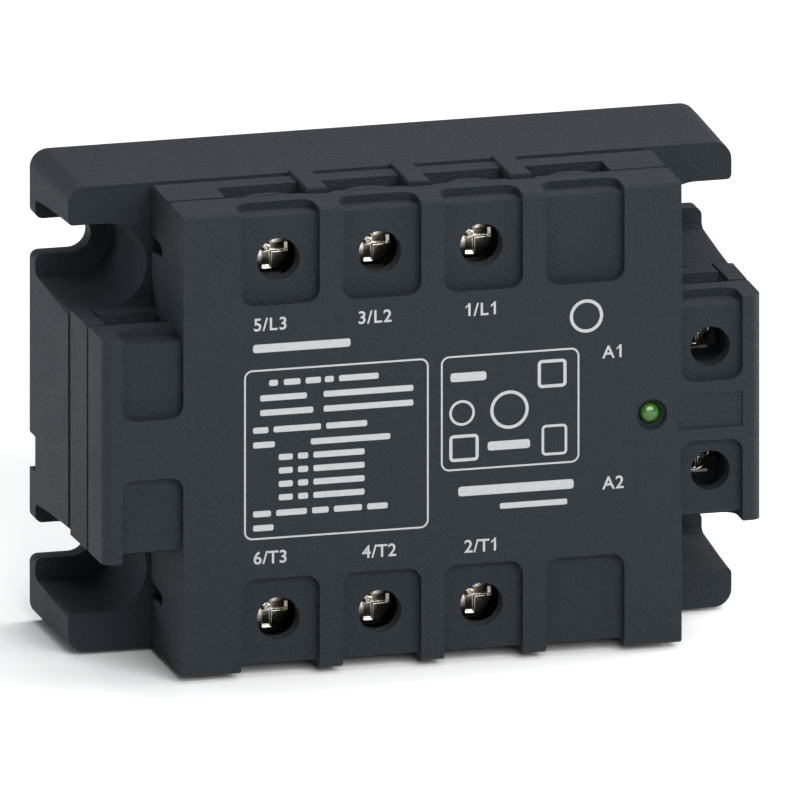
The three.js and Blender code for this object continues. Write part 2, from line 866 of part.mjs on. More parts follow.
function ceramicSubstrate() {
  const half = legInside + power.barThickness + substrateMargin;
  return box(-substrateWidth / 2, substrateWidth / 2, -half, half, 0, substrateThickness);
}

// Soft filling round the power section, cut away round everything that stands in it.
function pottingGel() {
  const x = slotX - counterboreEdge - wall - gelGap;
  const y = halfHeight - wall - cavityMargin - gelGap;
  const z0 = plateThickness;
  const substrateHalf = substrateWidth / 2 + gelGap;
  const substrateY = legInside + power.barThickness + substrateMargin + gelGap;
  const barHalf = power.barWidth / 2 + gelGap;
  const legOuter = legInside + power.barThickness;
  const chipHalf = chipSize / 2 + gelGap;
  const chipTop = z0 + substrateThickness + chipThickness + gelGap;
  const footTop = z0 + substrateThickness + power.barThickness + gelGap;
  const room = columns.slice(0, poweredColumns).flatMap((cx) => [
    box(
      cx - substrateHalf,
      cx + substrateHalf,
      -substrateY,
      substrateY,
      z0 - 1,
      z0 + substrateThickness + gelGap,
    ),
    ...sides.flatMap((up) => [
      sideBox(cx - barHalf, cx + barHalf, up, legInside - gelGap, legOuter + gelGap, z0 - 1, gelFront + 1),
      sideBox(cx - barHalf, cx + barHalf, up, legOuter - footLength - gelGap, legOuter, z0 - 1, footTop),
      sideBox(
        cx - chipHalf,
        cx + chipHalf,
        up,
        chipFromMiddle - chipHalf,
        chipFromMiddle + chipHalf,
        z0 - 1,
        chipTop,
      ),
    ]),
  ]);
  return cut(box(-x, x, -y, y, z0, gelFront), ...room);
}

function block(size) {
  return box(-size.x / 2, size.x / 2, -size.y / 2, size.y / 2, 0, size.z);
}

function resistor() {
  const r = resistorDiameter / 2;
  const geometry = new THREE.CylinderGeometry(r, r, resistorLength, smallSegments);
  geometry.rotateZ(Math.PI / 2);
  geometry.translate(0, 0, r);
  return solid(geometry);
}

// Finishes
const finish = (color, roughness, metalness) =>
  new THREE.MeshStandardMaterial({ color, roughness, metalness });
const darkPlastic = finish(0x393d41, 0.6, 0);
const darkPlate = finish(0x2f3235, 0.5, 0.4);
const nickel = finish(0xc9c6be, 0.25, 1);
const copper = finish(0xb87350, 0.3, 1);
const greenBoard = finish(0x1f5b34, 0.5, 0);
const blackEpoxy = finish(0x17181a, 0.5, 0);
const capacitorRed = finish(0x8a2f25, 0.4, 0);
const ceramicWhite = finish(0xe6e4dd, 0.5, 0);
const silicon = finish(0x3a3f4a, 0.2, 0.4);
const gelClear = finish(0xbfc4b4, 0.3, 0);
const greenLens = finish(0x2f9e44, 0.2, 0);
const resistorBlue = finish(0x4a78a8, 0.5, 0);

const face = new THREE.Group();
face.rotation.x = Math.PI / 2;

function place(name, body, material, x = 0, y = 0, z = 0) {
  const { vertProperties, triVerts, numProp } = body.getMesh();
  const count = vertProperties.length / numProp;
  const points = new Float32Array(count * 3);
  for (let i = 0; i < count; i += 1) {
    points.set(vertProperties.subarray(i * numProp, i * numProp + 3), i * 3);
  }
  const indexed = new THREE.BufferGeometry();
  indexed.setAttribute("position", new THREE.BufferAttribute(points, 3));
  indexed.setIndex(new THREE.BufferAttribute(triVerts, 1));
  const geometry = indexed.toNonIndexed();
  geometry.computeVertexNormals();
  const mesh = new THREE.Mesh(geometry, material);
  mesh.name = name;
  mesh.position.set(x, y, z);
  face.add(mesh);
}

place("base_plate", basePlate(), darkPlate);
place("base_housing", baseHousing(), darkPlastic);
place("terminal_housing", terminalHousing(), darkPlastic);
place("top_cover", topCover(), darkPlastic);
place("light_pipe", lightPipe(), greenLens, indicatorX);
place("circuit_board", circuitBoard(), greenBoard);
place("status_led", statusLed(), greenLens, indicatorX, 0, boardFront);
place("input_driver", block(driverSize), blackEpoxy, landX - driverFromLand, 0, boardFront);
place("potting_gel", pottingGel(), gelClear);

columns.slice(0, poweredColumns).forEach((x, i) => {
  const phase = poweredColumns - i;
  const chipZ = plateThickness + substrateThickness;
  place(`optocoupler_${phase}`, block(couplerSize), blackEpoxy, x, partsFromMiddle, boardFront);
  const capacitor = block({ ...capacitorSize, z: deckBack - boardFront - capacitorGap });
  place(`snubber_capacitor_${phase}`, capacitor, capacitorRed, x, -partsFromMiddle, boardFront);
  place(`snubber_resistor_${phase}`, resistor(), resistorBlue, x, 0, boardFront);
  place(`ceramic_substrate_${phase}`, ceramicSubstrate(), ceramicWhite, x, 0, plateThickness);
  sides.forEach((up, row) => {
    const name = powerNames[i][row];
    const chip = block({ x: chipSize, y: chipSize, z: chipThickness });
    place(`thyristor_chip_${name}`, chip, silicon, x, up * chipFromMiddle, chipZ);
    place(`power_busbar_${name}`, powerBusbar(up), copper, x);
    place(`power_clamp_${name}`, clampPlate(power), nickel, x, up * terminalY);
    place(`power_screw_${name}`, terminalScrew(power), nickel, x, up * terminalY);
  });
});

sides.forEach((up, row) => {
  const name = controlNames[row];
  const y = up * controlFromMiddle;
  place(`control_terminal_${name}`, controlTerminal(up), copper, controlX);
  place(`control_clamp_${name}`, clampPlate(control), nickel, controlX, y);
  place(`control_screw_${name}`, terminalScrew(control), nickel, controlX, y);
});

const relay = new THREE.Group();
relay.add(face);

export default relay;
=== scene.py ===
import json
import math
import bpy
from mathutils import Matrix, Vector


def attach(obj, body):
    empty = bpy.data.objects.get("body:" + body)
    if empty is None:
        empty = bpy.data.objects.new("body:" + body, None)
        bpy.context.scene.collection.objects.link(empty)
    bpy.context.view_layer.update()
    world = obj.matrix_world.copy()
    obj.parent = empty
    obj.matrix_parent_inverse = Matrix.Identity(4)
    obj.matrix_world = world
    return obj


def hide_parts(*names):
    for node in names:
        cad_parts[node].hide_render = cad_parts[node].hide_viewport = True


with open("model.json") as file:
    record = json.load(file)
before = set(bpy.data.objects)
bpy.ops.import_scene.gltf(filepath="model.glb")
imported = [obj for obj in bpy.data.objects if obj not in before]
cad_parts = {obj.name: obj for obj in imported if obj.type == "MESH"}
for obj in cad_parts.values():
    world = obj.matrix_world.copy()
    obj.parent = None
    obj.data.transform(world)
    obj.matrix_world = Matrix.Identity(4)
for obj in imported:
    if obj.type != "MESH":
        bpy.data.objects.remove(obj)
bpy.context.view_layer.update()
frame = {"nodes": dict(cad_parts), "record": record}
bpy.ops.object.select_all(action="DESELECT")
print("frame loaded:", len(frame["nodes"]), "solids")

# Sizes below are in millimetres. A place is (x, depth, z): x to the right, depth forward from the
# mounting face, z up. The frame itself has its Y axis going into the panel.
mm = 0.001


def place(x, depth, z):
    return Vector((x * mm, -depth * mm, z * mm))


def makeActive(piece):
    bpy.ops.object.select_all(action="DESELECT")
    piece.select_set(True)
    bpy.context.view_layer.objects.active = piece


def settle(name):
    piece = bpy.context.object
    makeActive(piece)
    bpy.ops.object.transform_apply(location=True, rotation=True, scale=True)
    piece.name = name
    piece.data.name = name
    return piece


def block(x, depth, z, name="cutter"):
    middle = place(sum(x) / 2, sum(depth) / 2, sum(z) / 2)
    size = [(b - a) * mm for a, b in (x, depth, z)]
    bpy.ops.mesh.primitive_cube_add(size=1, location=middle, scale=size)
    return settle(name)


def mirrored(side, low, high):
    return (low, high) if side > 0 else (-high, -low)


# A round bar along the depth. With front given, it tapers to that radius at its front end.
def rod(x, z, radius, depth, front=None, sides=64, name="cutter"):
    bpy.ops.mesh.primitive_cone_add(
        vertices=sides,
        radius1=radius * mm,
        radius2=(radius if front is None else front) * mm,
        depth=(depth[1] - depth[0]) * mm,
        location=place(x, sum(depth) / 2, z),
        rotation=(math.pi / 2, 0, 0),
    )
    return settle(name)


def pickEdges(piece, test):
    makeActive(piece)
    bpy.ops.object.mode_set(mode="EDIT")
    bpy.ops.mesh.select_mode(type="EDGE")
    bpy.ops.mesh.select_all(action="DESELECT")
    bpy.ops.object.mode_set(mode="OBJECT")
    points = [(v.co.x / mm, -v.co.y / mm, v.co.z / mm) for v in piece.data.vertices]
    for edge in piece.data.edges:
        edge.select = test(points[edge.vertices[0]], points[edge.vertices[1]])
    bpy.ops.object.mode_set(mode="EDIT")


def roundEdges(piece, test, radius, segments):
    pickEdges(piece, test)
    bpy.ops.mesh.bevel(offset=radius * mm, segments=segments, affect="EDGES")
    bpy.ops.object.mode_set(mode="OBJECT")


# Scales the corners that pass the test, about the given place.
def narrow(piece, test, factors, centre=(0, 0, 0)):
    makeActive(piece)
    bpy.ops.object.mode_set(mode="EDIT")
    bpy.ops.mesh.select_mode(type="VERT")
    bpy.ops.mesh.select_all(action="DESELECT")
    bpy.ops.object.mode_set(mode="OBJECT")
    for v in piece.data.vertices:
        v.select = test((v.co.x / mm, -v.co.y / mm, v.co.z / mm))
    bpy.ops.object.mode_set(mode="EDIT")
    bpy.ops.transform.resize(value=factors, center_override=place(*centre))
    bpy.ops.object.mode_set(mode="OBJECT")


def combine(piece, others, operation):
    for other in others:
        makeActive(piece)
        step = piece.modifiers.new("combine", "BOOLEAN")
        step.operation = operation
        step.solver = "MANIFOLD"
        step.object = other
        bpy.ops.object.modifier_apply(modifier=step.name)
        bpy.data.objects.remove(other, do_unlink=True)
    return piece


def carve(piece, *cutters):
    return combine(piece, cutters, "DIFFERENCE")


def fuse(piece, *others):
    return combine(piece, others, "UNION")


# Breaks every sharp edge a little, as a mould does, and evens the shading of the flat faces.
def softenEdges(piece, width, segments=2, angle=32):
    makeActive(piece)
    bpy.ops.object.mode_set(mode="EDIT")
    bpy.ops.mesh.select_all(action="SELECT")
    bpy.ops.mesh.remove_doubles(threshold=0.004 * mm)
    bpy.ops.mesh.dissolve_limited(angle_limit=math.radians(0.4))
    bpy.ops.object.mode_set(mode="OBJECT")
    step = piece.modifiers.new("edges", "BEVEL")
    step.width = width * mm
    step.segments = segments
    step.limit_method = "ANGLE"
    step.angle_limit = math.radians(angle)
    step.use_clamp_overlap = False
    step.miter_outer = "MITER_ARC"
    bpy.ops.object.modifier_apply(modifier=step.name)
    bpy.ops.object.shade_smooth_by_angle(angle=math.radians(30))
    step = piece.modifiers.new("shading", "WEIGHTED_NORMAL")
    step.keep_sharp = True
    bpy.ops.object.modifier_apply(modifier=step.name)
    return piece


# Shader building: a wire is a socket that can be added and multiplied.
class Wire:
    def __init__(self, finish, socket):
        self.finish = finish
        self.socket = socket

    def __add__(self, other):
        return self.finish.node("ShaderNodeMath", {"operation": "ADD"}, (self, other))

    def __mul__(self, other):
        return self.finish.node("ShaderNodeMath", {"operation": "MULTIPLY"}, (self, other))


class Finish:
    def __init__(self, name, **constants):
        self.material = bpy.data.materials.new(name)
        self.material.use_nodes = True
        self.tree = self.material.node_tree
        self.shader = self.tree.nodes["Principled BSDF"]
        self.feed(self.shader, {key.replace("_", " "): value for key, value in constants.items()})

    def feed(self, node, values):
        pairs = values.items() if isinstance(values, dict) else enumerate(values)
        for key, value in pairs:
            if isinstance(value, Wire):
                self.tree.links.new(value.socket, node.inputs[key])
            else:
                node.inputs[key].default_value = value

    def node(self, kind, settings=None, values=(), output=0):
        made = self.tree.nodes.new(kind)
        for key, value in (settings or {}).items():
            setattr(made, key, value)
        self.feed(made, values)
        return Wire(self, made.outputs[output])

    def objectPlace(self, stretch=(1, 1, 1)):
        here = self.node("ShaderNodeTexCoord", output="Object")
        return self.node("ShaderNodeMapping", values={"Vector": here, "Scale": stretch})

    def noise(self, scale, detail=2, roughness=0.5, stretch=(1, 1, 1)):
        values = {"Vector": self.objectPlace(stretch), "Scale": scale, "Detail": detail}
        values["Roughness"] = roughness
        return self.node("ShaderNodeTexNoise", values=values)

    def fade(self, wire, low, high, start=0.0, end=1.0):
        values = {"Value": wire, "From Min": low, "From Max": high, "To Min": start, "To Max": end}
        return self.node("ShaderNodeMapRange", values=values)

    def blend(self, factor, first, second):
        settings = {"data_type": "RGBA"}
        made = {0: factor, 6: first, 7: second}
        return self.node("ShaderNodeMix", settings, made, output=2)

    def bump(self, height, strength, distance):
        values = {"Height": height, "Strength": strength, "Distance": distance}
        return self.node("ShaderNodeBump", values=values)

    def surface(self, **wires):
        self.feed(self.shader, {key.replace("_", " "): value for key, value in wires.items()})
        return self.material


def rgb(red, green, blue):
    return (red, green, blue, 1)


plasticLook = {
    "dark": rgb(0.0048, 0.0068, 0.0098),
    "light": rgb(0.0078, 0.0104, 0.0140),
    "roughness": (0.60, 0.74),
    "grain": 3000,      # per metre, the spark-eroded texture of the mould
    "coarse": 1400,
    "cloud": 60,
    "bump": 0.8,
    "grainHeight": 0.0012,
    "specular": 0.46,
    "tint": rgb(0.80, 0.91, 1.0),
}


def mouldedPlastic(name):
    look = plasticLook
    finish = Finish(name, Specular_IOR_Level=look["specular"], Specular_Tint=look["tint"])
    grain = finish.noise(look["grain"], detail=3, roughness=0.65)
    coarse = finish.noise(look["coarse"], detail=2)
    cloud = finish.noise(look["cloud"], detail=3)
    shade = finish.fade(grain * 0.7 + cloud * 0.3, 0.36, 0.64)
    colour = finish.blend(shade, look["dark"], look["light"])
    roughness = finish.fade(cloud * 0.5 + coarse * 0.5, 0.35, 0.65, *look["roughness"])
    normal = finish.bump(grain * 0.75 + coarse * 0.25, look["bump"], look["grainHeight"])
    return finish.surface(Base_Color=colour, Roughness=roughness, Normal=normal)


def platedMetal(name, dark, light, low, high):
    finish = Finish(name, Metallic=1.0)
    cloud = finish.noise(420, detail=2, roughness=0.5)
    brushed = finish.noise(1500, detail=2, stretch=(1, 1, 5))
    colour = finish.blend(finish.fade(cloud, 0.35, 0.65), dark, light)
    roughness = finish.fade(brushed * 0.4 + cloud * 0.6, 0.35, 0.65, low, high)
    normal = finish.bump(brushed, 0.03, 0.00001)
    return finish.surface(Base_Color=colour, Roughness=roughness, Normal=normal)


def speckledSolid(name, dark, light, roughness, scale=1500, **constants):
    finish = Finish(name, **constants)
    grain = finish.noise(scale, detail=3)
    colour = finish.blend(finish.fade(grain, 0.35, 0.65), dark, light)
    shine = finish.fade(grain, 0.3, 0.7, roughness * 0.85, roughness * 1.15)
    normal = finish.bump(grain, 0.2, 0.00002)
    return finish.surface(Base_Color=colour, Roughness=shine, Normal=normal)


looks = {
    "housing": mouldedPlastic("dark moulded plastic"),
    "nickel": platedMetal(
        "nickel plate", rgb(0.50, 0.47, 0.41), rgb(0.62, 0.59, 0.52), 0.12, 0.20
    ),
    "bar": platedMetal(
        "tinned bar", rgb(0.45, 0.42, 0.38), rgb(0.68, 0.65, 0.60), 0.25, 0.45
    ),
    "board": speckledSolid(
        "green laminate", rgb(0.012, 0.06, 0.03), rgb(0.02, 0.09, 0.045), 0.4, 700
    ),
    "epoxy": speckledSolid(
        "black compound", rgb(0.01, 0.01, 0.011), rgb(0.02, 0.02, 0.021), 0.5
    ),
    "capacitor": speckledSolid("red dip", rgb(0.22, 0.03, 0.02), rgb(0.32, 0.05, 0.035), 0.25, 400),
    "resistor": speckledSolid(
        "resistor lacquer", rgb(0.05, 0.14, 0.26), rgb(0.07, 0.19, 0.33), 0.3, 500
    ),
    "substrate": speckledSolid(
        "white ceramic", rgb(0.7, 0.69, 0.66), rgb(0.8, 0.79, 0.76), 0.45, 900
    ),
    "silicon": speckledSolid("silicon", rgb(0.06, 0.065, 0.08), rgb(0.09, 0.1, 0.12), 0.15, 300),
    "gel": speckledSolid("potting gel", rgb(0.36, 0.38, 0.33), rgb(0.44, 0.46, 0.4), 0.2, 120),
    "ink": speckledSolid("pale ink", rgb(0.27, 0.275, 0.28), rgb(0.31, 0.315, 0.32), 0.6, 2500),
    # The green lens: its faint emission is a painted glow that lifts the lens's brightness.
    "lens": speckledSolid(
        "green lens", rgb(0.014, 0.065, 0.005), rgb(0.024, 0.095, 0.008), 0.2, 500,
        Emission_Color=rgb(0.3, 0.9, 0.12), Emission_Strength=0.006, Coat_Weight=0.2,
    ),
}
looks["plate"] = looks["housing"]


def wear(piece, look, body="relay", *nodes):
    piece.data.materials.clear()
    piece.data.materials.append(looks[look])
    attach(piece, body)
    if nodes:
        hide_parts(*nodes)
    return piece


for record in frame["record"]["subparts"]:
    solid = frame["nodes"][record["node"]]
    solid.data.materials.clear()
    solid.data.materials.append(looks[record["material_slot"]])
print("finishes made")

corners = [(right, up) for right in (1, -1) for up in (1, -1)]
levels = {
    "plate": 3.25, "deck": 19.75, "base": 21.75, "housing": 31.75, "cover": 32.0, "front": 41.08,
}
outline = {"x": 52, "z": 36.65, "corner": 2.8}
body = {
    "x": 38.875, "z": 36.4, "wingX": 51.7, "wingZ": 17.625,
    "coverZ": 36.2, "skirt": 37.25, "ledge": 35.525,
}
slot = {"x": 46.14, "z": 23.8, "radius": 2.8, "driver": 5.9, "driverFront": 6.68}
columns = [-23.7, -7.85, 8.0, 23.85]
ribs = [-15.775, 0.075, 15.925]
powerColumns = {"3": -23.7, "2": -7.85, "1": 8.0}
terminal = {"z": 28.1, "controlX": 43.66, "controlZ": 9.7}
chamber = {
    "half": 6.25, "near": 19.5, "far": 34.4, "entry": 26.9,
    "wingX": (39.325, 48.325), "wingZ": (4.9, 15.625),
}
hollow = {"x": 28.975, "z": 18}     # the open middle of the housing and the cover
pipe = {"x": 34.2, "way": 1.7, "floor": 39.8}     # the indicator's light pipe
spare = 1       # how far a cutter passes the surface that it opens
beyond = {"plate": 60, "wing": 56, "front": 43}     # outside the plate, a wing and the front


def frontOf(level):
    return lambda point: point[1] > level - 0.01


def alongDepth(a, b):
    return abs(a[1] - b[1]) > 1


# The ways through a floor for one terminal's bar and its screw
def powerWay(piece, x, up, depth, radius, sides):
    size = {"half": 4.3, "near": 20.2, "far": 22.3}
    across = (x - size["half"], x + size["half"])
    carve(
        piece,
        block(across, depth, mirrored(up, size["near"], size["far"])),
        rod(x, up * terminal["z"], radius, depth, sides=sides),
    )


def controlWay(piece, up, depth, radius, sides):
    size = {"x": (41.36, 45.96), "near": 5.45, "far": 7.05}
    carve(
        piece,
        block(size["x"], depth, mirrored(up, size["near"], size["far"])),
        rod(terminal["controlX"], up * terminal["controlZ"], radius, depth, sides=sides),
    )


def makePlate():
    size = {"mouth": 1.2, "notchX": -50.5, "notchZ": (-13.0, -7.5)}
    x, z = outline["x"], outline["z"]
    through = (-spare, 5)
    plate = block((-x, x), (0, levels["plate"]), (-z, z), "back_plate")
    roundEdges(plate, alongDepth, outline["corner"], 12)
    for right, up in corners:
        z, r = up * slot["z"], slot["radius"]
        carve(
            plate,
            rod(right * slot["x"], z, r, through, sides=48),
            block(mirrored(right, slot["x"], beyond["plate"]), through, (z - r, z + r)),
        )

    def atMouth(a, b):
        return alongDepth(a, b) and min(abs(a[0]), abs(b[0])) > 51.9 and abs(a[2]) < 30

    roundEdges(plate, atMouth, size["mouth"], 8)
    carve(plate, block((-beyond["plate"], size["notchX"]), (-spare, 6), size["notchZ"]))
    return wear(softenEdges(plate, 0.03), "plate", "relay", "base_plate")


def makeBase():
    size = {
        "draft": 0.25, "mouth": 0.8, "foot": 0.6, "wall": 2,
        "roomZ": 34.4, "wingRoom": (50, 15.12), "powerWay": 2.6, "controlWay": 2.1,
    }
    post = {"x": (-31.975, 28.975), "z": 11, "radius": 2.2, "pin": 1.0, "back": 11, "pinBack": 8.5}
    low, high, deck = levels["plate"], levels["base"], levels["deck"]
    x, z = outline["x"], outline["z"]
    base = block((-x, x), (low, high), (-z, z), "base_shell")
    roundEdges(base, alongDepth, outline["corner"], 12)
    slim = (1 - size["draft"] / x, 1, 1 - size["draft"] / z)
    narrow(base, frontOf(high), slim)
    inner, outer, foot = slot["driver"], slot["driverFront"], size["foot"]
    for right, up in corners:
        x, z = right * slot["x"], up * slot["z"]
        # the wall widens to the front, and its foot flares in to the slot
        for start, end, back, front in (
            (low + foot, high + spare, inner, outer),
            (low - spare, low + foot + 0.05, inner - spare - foot, inner - 0.06),
        ):
            side = mirrored(right, slot["x"], beyond["plate"])
            mouth = block(side, (start, end), (z - back, z + back))
            narrow(mouth, frontOf(end), (1, 1, front / back), (0, 0, z))
            carve(base, rod(x, z, back, (start, end), front=front, sides=80), mouth)

    def atMouth(a, b):
        deep = abs(a[1] - b[1]) > 10
        return deep and min(abs(a[0]), abs(b[0])) > 51.6 and max(abs(a[2]), abs(b[2])) < 31.5

    roundEdges(base, atMouth, size["mouth"], 6)
    roomX = slot["x"] - outer - size["wall"]
    wideX, wideZ = size["wingRoom"]
    carve(
        base,
        block((-roomX, roomX), (low - spare, deck), (-size["roomZ"], size["roomZ"])),
        block((-wideX, wideX), (low - spare, deck), (-wideZ, wideZ)),
    )
    through = (deck - spare, high + spare)
    for x in powerColumns.values():
        for up in (1, -1):
            powerWay(base, x, up, through, size["powerWay"], 32)
    for up in (1, -1):
        controlWay(base, up, through, size["controlWay"], 32)
    carve(base, rod(pipe["x"], 0, pipe["way"], through, sides=32))
    # posts for the board, each with a pin for one of its holes
    for x in post["x"]:
        for up in (1, -1):
            z = up * post["z"]
            leg = rod(x, z, post["radius"], (post["back"], deck + 0.5), sides=32)
            pin = rod(x, z, post["pin"], (post["pinBack"], post["back"] + 0.5), sides=32)
            fuse(base, leg, pin)
    return wear(softenEdges(base, 0.04, angle=50), "housing", "relay", "base_housing")


# The cross-shaped outline that the housing and the cover share
def crossShape(name, depth, halfZ, frontZ, backX, frontX, rounding=0, wingRounding=0):
    low, high = depth
    middle = block((-body["x"], body["x"]), (low, high), (-halfZ, halfZ), name)
    narrow(middle, frontOf(high), (1, 1, frontZ / halfZ))
    wing = block((-backX, backX), (low, high), (-body["wingZ"], body["wingZ"]))
    narrow(wing, frontOf(high), (frontX / backX, 1, 1))

    def frontEdge(axis):
        def test(a, b):
            return min(a[1], b[1]) > high - 0.01 and abs(a[axis] - b[axis]) > 5
        return test

    if rounding:
        roundEdges(middle, frontEdge(0), rounding, 6)
    if wingRounding:
        roundEdges(wing, frontEdge(2), wingRounding, 10)
    return fuse(middle, wing)


# The window in the cover's side, and with a margin the housing's hook that fits it
def latch(right, up, x, margin):
    size = {
        "z": 27.0, "half": 1.3, "tip": 0.5, "foot": 22.0, "end": 28.65, "nose": 28, "round": 0.8,
    }
    half, end = size["half"] - margin, size["end"] - margin
    z = up * size["z"]
    piece = block(mirrored(right, *x), (size["foot"] + margin, end), (z - half, z + half))
    # its inner corner slopes
    makeActive(piece)
    for v in piece.data.vertices:
        inward = v.co.z / mm * up < size["z"]
        if -v.co.y / mm > end - 0.01 and inward:
            v.co.z = up * (size["z"] - size["tip"] + margin) * mm

    def outerCorner(a, b):
        return min(a[1], b[1]) > size["nose"] - margin and min(a[2] * up, b[2] * up) > size["z"]

    roundEdges(piece, outerCorner, size["round"], 5)
    return piece


def makeRib(x, up):
    size = {"half": 1.675, "front": 32.6, "inner": 34.4, "outer": 36.9, "round": 0.35}
    low, high = levels["base"], levels["housing"]
    across = (x - size["half"], x + size["half"])
    rib = block(across, (low, size["front"]), mirrored(up, size["inner"], size["outer"]))

    def outerEdge(a, b):
        outside = abs(a[2] + b[2]) > 2 * size["outer"] - 0.1
        long = max(abs(a[1] - b[1]), abs(a[0] - b[0])) > 1
        return outside and long and not (a[1] < low + 0.1 and b[1] < low + 0.1)

    roundEdges(rib, outerEdge, size["round"], 4)
    # its inner part stops short of the cover
    return carve(rib, block((x - 3, x + 3), (high, 34), mirrored(up, 30, body["ledge"] + 0.3)))


def makeHousing():
    size = {
        "draft": 0.25, "wingFront": 51.47, "skirtGap": 39.9, "reveal": 0.875, "band": 1.6,
        "wingBand": 1.0, "slit": 0.35, "floor": 25.5, "wingFloor": 25.25, "wayZ": (14.6, 25),
        "entryZ": (33.4, 45), "powerWay": 3.5, "controlWay": 2.8, "shoulder": 19,
    }
    low, high = levels["base"], levels["housing"]
    ledge, entry = body["ledge"], chamber["entry"]
    through = (low - spare, high + spare)
    housing = crossShape(
        "terminal_shell", (low, high), body["z"], body["z"] - size["draft"],
        body["wingX"], size["wingFront"],
    )
    inner, outer = chamber["wingX"]
    wingStep = body["wingZ"] - size["reveal"], size["shoulder"]
    for right, up in corners:
        step = mirrored(up, *wingStep)
        room = mirrored(right, inner, outer)
        carve(
            housing,
            block(
                mirrored(right, body["skirt"], size["skirtGap"]),
                through,
                mirrored(up, body["wingZ"], ledge),
            ),
            block(mirrored(right, outer, outer + size["slit"]), through, step),
            block(mirrored(right, body["x"], outer), (low - spare, low + size["band"]), step),
            block(room, (size["wingFloor"], high + spare), mirrored(up, *chamber["wingZ"])),
            block(room, (entry, high + spare), mirrored(up, *size["wayZ"])),
        )
    for up in (1, -1):
        band = (low - spare, low + size["band"])
        carve(housing, block((-45, 45), band, mirrored(up, ledge, 45)))
        for x in columns:
            room = (x - chamber["half"], x + chamber["half"])
            carve(
                housing,
                block(
                    room,
                    (size["floor"], high + spare),
                    mirrored(up, chamber["near"], chamber["far"]),
                ),
                block(room, (entry, high + spare), mirrored(up, *size["entryZ"])),
            )
        for x in powerColumns.values():
            powerWay(housing, x, up, through, size["powerWay"], 40)
        controlWay(housing, up, through, size["controlWay"], 40)
        for x in ribs:
            fuse(housing, makeRib(x, up))
    shoulder = (-size["shoulder"], size["shoulder"])
    for right in (1, -1):
        side = mirrored(right, body["wingX"] - size["reveal"], beyond["wing"])
        carve(housing, block(side, (low - spare, low + size["wingBand"]), shoulder))
    carve(
        housing,
        block((-hollow["x"], hollow["x"]), through, (-hollow["z"], hollow["z"])),
        rod(pipe["x"], 0, pipe["way"], through, sides=32),
    )
    for right, up in corners:
        fuse(housing, latch(right, up, (36.75, 37.75), 0.2))
    return wear(softenEdges(housing, 0.08), "housing", "relay", "terminal_housing")


pocket = {
    "depth": 1.3, "radius": 2.0, "endDepth": 1.25, "endBack": 5.4, "round": 0.5,
    "half": 6.1, "inner": 21.4, "wingX": 48.375, "wingInner": 4.65,
}


# A shallow pocket runs from a rounded inner end out through the edge, and turns over it.
def pocketCutters(x, up, inner, edge):
    floor = levels["front"] - pocket["depth"]
    back = levels["front"] - pocket["endBack"]
    past = edge + 6
    face = block(x, (floor, beyond["front"]), mirrored(up, inner, past))

    def innerCorner(a, b):
        return alongDepth(a, b) and abs(a[2] + b[2]) < 2 * inner + 0.1

    roundEdges(face, innerCorner, pocket["radius"], 8)
    end = block(x, (back, beyond["front"]), mirrored(up, edge - pocket["endDepth"], past))

    def backCorner(a, b):
        return abs(a[2] - b[2]) > 3 and max(a[1], b[1]) < back + 0.1

    roundEdges(end, backCorner, pocket["radius"], 8)
    return face, end


# A tab over one wire entry, narrower towards the back
def addTab(cover, x, up):
    size = {"half": 3.3, "backHalf": 1.4, "back": 30.95, "overlap": 1.2, "z": (34.4, 36.15)}
    low = levels["cover"]
    across = (x - size["half"], x + size["half"])
    z = mirrored(up, *size["z"])
    tab = block(across, (size["back"], low + 0.1), z)
    taper = (size["backHalf"] / size["half"], 1, 1)
    narrow(tab, lambda point: point[1] < size["back"] + 0.05, taper, (x, 0, 0))
    fuse(cover, block(across, (low, low + size["overlap"]), z), tab)


